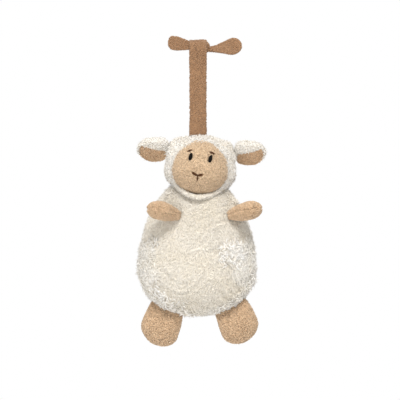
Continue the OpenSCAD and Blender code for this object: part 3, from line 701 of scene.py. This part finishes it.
head_bm = egg(inset(HEAD, 2.4 * MM), HEAD_PLACE, 5)
lumpy(head_bm, 1.2 * MM, 90, 2)
for v in head_bm.verts:
    for name, side in SIDES:                             # the hood swells towards the seam of each ear
        away = v.co - ear_seam(side, EAR_SEAMS[name])
        above = v.co - ear_seam(side, EAR_SEAMS[name]) - Vector((-side * 4, 0, 10)) * MM
        near = math.exp(-(away.x / (10 * MM)) ** 2 - (away.y / (13 * MM)) ** 2
                        - ((away.z - 2 * MM) / (11 * MM)) ** 2)
        brow = math.exp(-(above.x / (9 * MM)) ** 2 - (above.y / (11 * MM)) ** 2 - (above.z / (8 * MM)) ** 2)
        v.co += Vector((side * (5.0 * near + 5.0 * brow), 0, 5.0 * brow)) * MM
head = new_piece("head_skin", head_bm, backing)
wear(head, "lamb")
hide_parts("head_hood_front", "head_hood_back")


def head_keep(at):
    """The hood's pile leaves out the face, the torso it is sewn to and the slit for the strap."""
    out_of_face = soft(-inside_egg(at, FACE, FACE_PLACE, face_narrow) + 0.01, 0.02)
    out_of_torso = soft(-inside_egg(at, TORSO, TORSO_PLACE) + 0.05, 0.05)
    in_slit = (np.abs(at[:, 0]) < STRAP_W / 2 + 0.5 * MM) & (np.abs(at[:, 1]) < 2.4 * MM)
    return out_of_face * out_of_torso * ~(in_slit & (at[:, 2] > -100 * MM))


def ruffled(at, up, rng):
    """Locks that lean away from the face, each its own way."""
    away = at - np.array(FACE_PLACE.translation)
    return unit(away) * 0.6 + rng.normal(0, 0.8, at.shape)


for layer in (0, 1):
    grow_pile(f"head_pile_{layer + 1}", head, TUFT, 7500, 41 + layer, head_keep, even(4.3 * MM), even(1.1 * MM),
              1.2, ruffled, plush_white, "lamb")

face_bm = egg(FACE, FACE_PLACE, 6, face_narrow)
back_half = [v for v in face_bm.verts if (FACE_PLACE.inverted() @ v.co).y > 6 * MM]
bmesh.ops.delete(face_bm, geom=back_half, context="VERTS")
bmesh.ops.holes_fill(face_bm, edges=[e for e in face_bm.edges if e.is_boundary], sides=0)
lumpy(face_bm, 0.8 * MM, 60, 7)
face = new_piece("face_fleece", face_bm, face_fleece)
wear(face, "lamb")
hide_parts("face_panel")
FACE_TURN = -0.8 * MM
NOSE = (FACE_TURN - 1.0 * MM, -10.4 * MM)
NOSE_LINES = [
    ((NOSE[0] - 5.9 * MM, NOSE[1] + 2.5 * MM), NOSE, 2),
    (NOSE, (NOSE[0] + 5.1 * MM, NOSE[1] + 1.4 * MM), 2),
    (NOSE, (NOSE[0] + 0.3 * MM, NOSE[1] - 5.1 * MM), 1),
]
EYE_LEAN = math.radians(9)
BROWS = {}
EYES = {}
for name, side in SIDES:
    EYES[name] = (FACE_TURN + side * 9.6 * MM, 6.7 * MM)
    x = FACE_TURN + side * 10.8 * MM
    BROWS[name] = [((x - side * 2.3 * MM, 13.6 * MM), (x + side * 2.4 * MM, 11.4 * MM), 2)]


def from_line(x, z, start, end):
    """Distance of points from a stitch."""
    along = np.array(end) - np.array(start)
    t = np.clip(((x - start[0]) * along[0] + (z - start[1]) * along[1]) / (along @ along), 0, 1)
    return np.hypot(x - start[0] - t * along[0], z - start[1] - t * along[1])


def past_fringe(x, z):
    """Above 1 where the hood's curls cover the edge of the face. x and z are in the head's own frame."""
    up = z - FACE_AT.z
    wave = 1 + 0.012 * np.sin(9 * np.arctan2(up, x)) + 0.008 * np.sin(23 * np.arctan2(up, x) + 1)
    return np.hypot(x / (26.3 * MM * face_narrow(up)), up / np.where(up > 0, 28 * MM, 24.6 * MM)) * wave


def face_nap_keep(at):
    """The nap covers the face where it stands out of the hood, and leaves the embroidery free."""
    local = in_frame(at, HEAD_FRAME)
    x, z = local[:, 0], local[:, 2]
    free = np.ones(len(at))
    for start, end, _ in NOSE_LINES + BROWS["left"] + BROWS["right"]:
        free = free * (from_line(x, z, start, end) > 1.1 * MM)
    for ex, ez in EYES.values():
        sx, sz = x - ex - (z - ez) * math.sin(EYE_LEAN), z - ez
        free = free * (np.hypot(sx / (2.9 * MM), sz / (4.2 * MM)) > 1)
    free = free * (past_fringe(x, z) < 1.03)
    return free * soft(-inside_egg(at, inset(HEAD, 2 * MM), HEAD_PLACE) + 0.02, 0.02)


def fringe_keep(at):
    """The hood's curls grow on the rim of the face, where it stands out of the hood."""
    local = in_frame(at, HEAD_FRAME)
    bare = soft(-inside_egg(at, inset(HEAD, 3 * MM), HEAD_PLACE) + 0.02, 0.02)
    return (past_fringe(local[:, 0], local[:, 2]) > 1) * bare


def inward(at, up, rng):
    """The hood's edge curls in over the face."""
    return unit(np.array(FACE_PLACE.translation) - at) * 0.5 + rng.normal(0, 0.7, at.shape)


nap(face, 22000, 51, face_fleece, "lamb", 1.7 * MM, face_nap_keep)
grow_pile("hood_fringe", face, CURL, 22000, 52, fringe_keep, even(3.2 * MM), even(0.8 * MM), 1.0, inward,
          plush_white, "lamb")


def hood_edge():
    """The rolled edge of the hood, which runs under the chin from one cheek to the other."""
    bm = bmesh.new()
    bmesh.ops.create_cone(bm, cap_ends=True, segments=20, radius1=1, radius2=1, depth=2)
    for k in range(1, 60):
        bmesh.ops.bisect_plane(bm, geom=bm.verts[:] + bm.edges[:] + bm.faces[:], plane_co=(0, 0, -1 + k / 30),
                               plane_no=(0, 0, 1))
    for v in bm.verts:
        turn = math.radians(-90 + 74 * v.co.z)
        thin = math.sqrt(max(0.02, 1 - v.co.z ** 4))
        out = Vector((math.cos(turn), 0, math.sin(turn)))
        ring = Vector((FACE[0] * 0.97 * out.x, -13 * MM * math.sin(turn) ** 4, (FACE[3] + 3.7 * MM) * out.z))
        v.co = FACE_PLACE @ (ring + (out * v.co.x * 1.4 * MM + Vector((0, v.co.y * 2.2 * MM, 0))) * thin)
    return bm


roll = new_piece("hood_edge_roll", hood_edge(), backing)
wear(roll, "lamb")
# The roll wears the creamier, darker torso plush rather than the hood's white: partly the collar's own cream,
# partly painted shade under the chin.
grow_pile("hood_edge_pile", roll, TUFT, 2600, 53, everywhere, even(2.4 * MM), even(1.2 * MM), 0.9, ruffled,
          plush, "lamb")

# ---------- embroidery ----------

STITCH_RISE = 0.9 * MM                                   # of the thread above the fleece, level with its nap


def on_face(x, z, lift):
    """The place on the face at x and z of the head's own frame, lifted off it, and its outward normal."""
    fx, fz = x - FACE_AT.x, z - FACE_AT.z
    tall = FACE[2] if fz > 0 else FACE[3]
    wide = FACE[0] * face_narrow(fz)
    depth = FACE[1] * math.sqrt(max(0.0, 1 - (fx / wide) ** 2 - (fz / tall) ** 2))
    local = Vector((fx, -depth, fz))
    normal = Vector((fx / wide ** 2, -depth / FACE[1] ** 2, fz / tall ** 2)).normalized()
    return FACE_PLACE @ (local + normal * lift), FACE_PLACE.to_3x3() @ normal


def stitch(bm, start, end, radius, lift):
    """One straight stitch that dips into the cloth at both ends: a stretched ball laid along the face."""
    made = bmesh.ops.create_uvsphere(bm, u_segments=8, v_segments=9, radius=1)
    direction = Vector((end[0] - start[0], end[1] - start[1]))
    across = Vector((direction.y, -direction.x)).normalized()
    for v in made["verts"]:
        t = (v.co.z + 1) / 2
        flat = Vector(start) + direction * t + across * radius * v.co.x
        rise = lift * math.sin(math.pi * t) + radius * v.co.y + STITCH_RISE * min(1, 6 * t, 6 * (1 - t))
        v.co = on_face(flat.x, flat.y, rise)[0]


def satin_oval(name, centre, half, lean, count, node):
    """A padded oval of side-by-side satin stitches."""
    bm = bmesh.new()
    for k in range(count):
        t = -1 + 2 * (k + 0.5) / count
        reach = half[0] * math.sqrt(1 - t * t) + 0.15 * MM
        z = centre[1] + t * half[1] * math.cos(lean)
        x = centre[0] + t * half[1] * math.sin(lean)
        stitch(bm, (x - reach, z + 0.1 * MM), (x + reach, z - 0.1 * MM), half[1] / count * 1.25, 0.75 * MM)
    piece = new_piece(name, bm, black_thread)
    wear(piece, "lamb")
    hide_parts(node)


def thread_line(name, lines, radius, node):
    """Lines of side-by-side strands, each line its start, its end and its number of strands."""
    bm = bmesh.new()
    for start, end, strands in lines:
        across = Vector((end[1] - start[1], start[0] - end[0])).normalized()
        for k in range(strands):
            shift = across * (k - (strands - 1) / 2) * radius * 1.5
            stitch(bm, (start[0] + shift.x, start[1] + shift.y), (end[0] + shift.x, end[1] + shift.y), radius,
                   0.5 * MM)
    piece = new_piece(name, bm, brown_thread)
    wear(piece, "lamb")
    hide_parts(node)


for name, side in SIDES:
    satin_oval(name + "_eye_stitch", EYES[name], (1.95 * MM, 3.5 * MM), EYE_LEAN, 12, name + "_eye")
    thread_line(name + "_brow_stitch", BROWS[name], 0.42 * MM, name + "_brow")
thread_line("nose_and_mouth_thread", NOSE_LINES, 0.62 * MM, "nose_and_mouth_stitch")

# ---------- ears ----------

EAR = dict(half=15 * MM, deep=11 * MM, length=34 * MM, tip=15.3 * MM, plush=3.6 * MM)
EAR_DROOP = math.radians(4)
EAR_OPEN = math.radians(58)
EAR_SPRING = math.radians(9)                             # the thin lower edge of the mouth springs forwards
EAR_MIDDLE = EAR["length"] - EAR["tip"]


def ear_place(side, z):
    mirror = Matrix.Scale(-1, 4, (1, 0, 0)) if side < 0 else Matrix.Identity(4)
    return (Matrix.Translation(ear_seam(side, z)) @ mirror
            @ Matrix.Rotation(math.pi / 2 + EAR_DROOP, 4, "Y")
            @ Matrix.Rotation(EAR_OPEN - EAR_SPRING, 4, "Z"))


def roll_edge(z):
    """How far down the plush rolls over the ear's mouth: little at the tip, and past half way at the seam."""
    return -0.85 + 0.5 * (1 - z)


def ear_bowl(place, width, outside, inside, roll, shift=0):
    """Half an ear, kept broad towards its seam, with the plush rolled over the top of its mouth.

    It is rounded to the depth outside at the back and hollowed to the depth inside.
    """
    bm = bmesh.new()
    bmesh.ops.create_icosphere(bm, subdivisions=5, radius=1)
    for face in bm.faces:
        middle = face.calc_center_median()
        behind_edge = 0.3 if middle.x > 0.3 else 0.01
        face.material_index = int(middle.y < behind_edge and middle.x > roll_edge(middle.z) + 0.06)
    for v in bm.verts:
        x, y, z = v.co
        tall = EAR["tip"] if z > 0 else EAR_MIDDLE - 1.0 * MM
        out = math.hypot(x, z)
        broad = ((1 + z * z) / max(1e-6, 1 - z * z)) ** 0.25 if z < 0 else 1
        deep = y * outside * broad
        if y < 0:
            hollow = math.sqrt(max(0, 1 - out ** 2)) * (1 - 0.35 * z)
            over = float(soft(roll_edge(z) - x, 0.16))
            deep = hollow * (inside * (1 - over) - roll * over)
        low = 1 + (0.36 * (1 - 0.3 * z) if x > 0 else 0.12) * x
        v.co = Vector((x * EAR["half"] * width * broad * low + shift, deep, EAR_MIDDLE + z * tall * width))
    bmesh.ops.transform(bm, matrix=place, verts=bm.verts)
    return bm


EAR_SKIN = 0.88                                          # of the ear's size, under its pile
for name, side in SIDES:
    place = ear_place(side, EAR_SEAMS[name])
    body = name + "_ear"
    hollow = EAR["deep"] - EAR["plush"] - 2.5 * MM
    bowl = ear_bowl(place, EAR_SKIN, EAR["deep"] - 2 * MM, hollow, 3 * MM)
    outer = new_piece(body + "_skin", bowl, backing)
    wear(outer, body)
    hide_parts(body + "_plush")
    outer.data.materials.append(lining_fleece)
    grow_pile(body + "_pile", outer, TUFT, 4100, 61 + side, everywhere, even(3.5 * MM), even(1.1 * MM), 1.2,
              every_way, plush_white, body)
    bowl = ear_bowl(place, EAR_SKIN * 1.01, hollow + 0.3 * MM, hollow - 1.2 * MM, 0, 0.6 * MM)
    lining = new_piece(body + "_lining_cloth", bowl, lining_fleece)
    for part in lining.data.polygons:                    # the lining wears one material all over
        part.material_index = 0
    wear(lining, body)
    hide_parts(body + "_lining")
    nap(lining, 2600, 91 + side, lining_fleece, body, SHORT_NAP)

# ---------- the pull cord ----------

CORD_TOP = Vector((0, 0, -101 * MM))                     # where it leaves the knot inside the strap's end
CORD_LENGTH = 99 * MM
cord_route = [CORD_TOP - Vector((0, 0, CORD_LENGTH * k / 19)) for k in range(20)]
cord_bm = bmesh.new()
bmesh.ops.create_cone(cord_bm, cap_ends=True, segments=14, radius1=0.8 * MM, radius2=0.8 * MM,
                      depth=CORD_LENGTH, matrix=Matrix.Translation(CORD_TOP - Vector((0, 0, CORD_LENGTH / 2))))
for at in cord_route[1:-1]:
    cord_geometry = cord_bm.verts[:] + cord_bm.edges[:] + cord_bm.faces[:]
    bmesh.ops.bisect_plane(cord_bm, geom=cord_geometry, plane_co=at, plane_no=(0, 0, 1))
pull_cord = new_piece("pull_cord_line", cord_bm, NODE_LOOKS["cord"])
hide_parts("pull_cord")
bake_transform(pull_cord)

# ---------- strap and tie ----------


LOOP_LOW = -17 * MM                                      # where the front and the tail part into the loop


def strap_line():
    """The strap's outside in the Y-Z plane: up the front, round the eye and down the back to its sewn tail."""
    radius = EYE_R + LOOP_T
    turns = np.linspace(-math.pi / 9, math.pi + math.pi / 9, 26)
    front = [(-LOOP_T / 2, STRAP_LOW + (LOOP_LOW - STRAP_LOW) * k / 36) for k in range(37)]
    loop = [(-radius * math.cos(a), radius * math.sin(a)) for a in turns]
    rear = [((3.4 - k * 0.06) * MM, LOOP_LOW - k * 0.7 * MM) for k in range(11)]
    return front + loop + rear


def band(name, line, width, thickness, material):
    """A strip of cloth laid along a line in the Y-Z plane."""
    bm = bmesh.new()
    bmesh.ops.create_grid(bm, x_segments=12, y_segments=len(line) - 1, size=1)
    for v in bm.verts:
        y, z = line[round((v.co.y + 1) / 2 * (len(line) - 1))]
        v.co = Vector((width * v.co.x / 2, y, z))
    bmesh.ops.recalc_face_normals(bm, faces=bm.faces)
    bmesh.ops.solidify(bm, geom=bm.faces[:], thickness=thickness)
    lumpy(bm, 0.5 * MM, 90, 5)
    return new_piece(name, bm, material)


outside = strap_line()
strap = band("hang_strap_cloth", outside, STRAP_W - 1 * MM, LOOP_T, strap_fleece)
wear(strap, "strap")
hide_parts("hang_strap")
nap(strap, 6800, 71, strap_fleece, "strap", SHORT_NAP)

knot_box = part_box("tie_knot")
knot_mid = (Vector(knot_box[0]) + Vector(knot_box[1])) / 2
knot_half = (Vector(knot_box[1]) - Vector(knot_box[0])) / 2
knot_bm = egg((knot_half.x, knot_half.y, knot_half.z, knot_half.z), Matrix.Translation(knot_mid), 5)
for v in knot_bm.verts:
    away = v.co - knot_mid
    fold = math.sin(2.6 * math.atan2(away.z, away.x) + 5 * away.y / knot_half.y)
    v.co -= away * 0.12 * max(0, fold)
    if away.y < 0:                                       # the knot is pulled tight on the back of the loop
        v.co.y -= 1.6 * MM * min(1, -2 * away.y / knot_half.y)
knot = new_piece("tie_knot_cloth", knot_bm, strap_fleece)
wear(knot, "strap")
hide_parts("tie_knot")
nap(knot, 2500, 72, strap_fleece, "strap", SHORT_NAP)


def rounding(t, start):
    """How much of a strip's width is left at t of its length, where its end is rounded from start on."""
    return math.sqrt(max(0.04, 1 - ((t - start) / (1.01 - start)) ** 2)) if t > start else 1.0


def tie_end(name, side, tip, round_from, twist, root_z, root_half, end_z, end_half):
    """A tie end: a strip that comes out of the knot, twists or folds and widens to a rounded end.

    tip is how far it reaches from the middle of the toy. Its cut is as wide as its widest place, and it is
    gathered where it enters the knot.
    """
    start = knot_mid.x + side * knot_half.x * 0.6
    reach = side * tip
    bm = bmesh.new()
    bmesh.ops.create_grid(bm, x_segments=30, y_segments=14, size=1)
    for v in bm.verts:
        t, s = (v.co.x + 1) / 2, v.co.y
        ease = t * t * (3 - 2 * t)
        half = (root_half + (end_half - root_half) * min(1, ease * 1.25)) * rounding(t, round_from)
        turn = twist * (1 - ease)
        fold = 1.1 * MM * math.exp(-((s + 0.35) / 0.16) ** 2) * (1 - 0.4 * t)
        y = knot_mid.y + half * s * math.sin(turn) * 0.35 + fold
        z = root_z + (end_z - root_z) * ease + half * s * math.cos(turn * 0.8)
        v.co = Vector((start + (reach - start) * t, y, z))
    bmesh.ops.recalc_face_normals(bm, faces=bm.faces)
    bmesh.ops.solidify(bm, geom=bm.faces[:], thickness=2.6 * MM)
    bmesh.ops.translate(bm, vec=(0, 0.6 * MM, 0), verts=bm.verts)
    lumpy(bm, 0.7 * MM, 110, 9 + side)
    piece = new_piece(name + "_tie_end_cloth", bm, strap_fleece)
    wear(piece, "strap")
    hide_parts(name + "_tie_end")
    nap(piece, 2400, 73 + side, strap_fleece, "strap", SHORT_NAP)


tie_end("right", -1, tip=29.3 * MM, round_from=0.86, twist=0.25, root_z=2.1 * MM, root_half=3.0 * MM,
        end_z=5.3 * MM, end_half=6.6 * MM)
tie_end("left", 1, tip=43.5 * MM, round_from=0.74, twist=1.15, root_z=-1.6 * MM, root_half=3.0 * MM,
        end_z=2.4 * MM, end_half=8.0 * MM)

# ---------- stage, lights and camera ----------

FLOOR_Z = -0.475                                         # clear of the feet with the lamb pulled right down
floor_bm = bmesh.new()
bmesh.ops.create_circle(floor_bm, cap_ends=True, segments=96, radius=0.8,
                        matrix=Matrix.Translation((0, 0, FLOOR_Z)))
floor_material, _, _, floor_shader = start_material("pale floor")
floor_shader.inputs["Base Color"].default_value = (0.9, 0.9, 0.9, 1)
floor_shader.inputs["Roughness"].default_value = 0.9
floor = new_piece("floor", floor_bm, floor_material)

world = bpy.data.worlds.new("studio")
bpy.context.scene.world = world
world.use_nodes = True
sky = world.node_tree
background = sky.nodes["Background"]
background.inputs["Color"].default_value = (1, 1, 1, 1)
path = sky.nodes.new("ShaderNodeLightPath")
seen = sky.nodes.new("ShaderNodeMath")
seen.operation = "MAXIMUM"
sky.links.new(path.outputs["Is Camera Ray"], seen.inputs[0])
sky.links.new(path.outputs["Is Glossy Ray"], seen.inputs[1])
clear = sky.nodes.new("ShaderNodeMath")
clear.operation = "MAXIMUM"
sky.links.new(seen.outputs["Value"], clear.inputs[0])
sky.links.new(path.outputs["Is Transmission Ray"], clear.inputs[1])
strength = sky.nodes.new("ShaderNodeMapRange")
strength.inputs["To Min"].default_value = 0.6
strength.inputs["To Max"].default_value = 1.0
sky.links.new(clear.outputs["Value"], strength.inputs["Value"])
sky.links.new(strength.outputs["Result"], background.inputs["Strength"])


def softbox(name, place, aim, size, power):
    lamp = bpy.data.lights.new(name, "AREA")
    lamp.shape = "DISK"
    lamp.size = size
    lamp.energy = power
    holder = bpy.data.objects.new(name, lamp)
    holder.location = place
    holder.rotation_euler = (Vector(aim) - Vector(place)).to_track_quat("-Z", "Y").to_euler()
    bpy.context.collection.objects.link(holder)


MIDDLE = (0.0, 0.0, -0.19)                               # of the whole toy, where the lamps point
softbox("key", (0.1, -1.0, 0.8), MIDDLE, 0.5, 14)
softbox("fill", (-0.5, -1.1, -0.4), MIDDLE, 0.8, 5)
softbox("back", (0.35, 1.1, 0.45), MIDDLE, 0.9, 12)

VIEW_WIDTH = 0.4
DISTANCE = 2.4
SENSOR = 36
camera = bpy.data.cameras.new("camera")
camera.sensor_width = SENSOR
camera.lens = SENSOR * DISTANCE / VIEW_WIDTH
camera.clip_end = 20
holder = bpy.data.objects.new("camera", camera)
holder.location = (0.002, -DISTANCE, -0.1525)
holder.rotation_euler = (math.pi / 2, 0, 0)
bpy.context.collection.objects.link(holder)
bpy.context.scene.camera = holder
bpy.context.scene.view_settings.view_transform = "Standard"
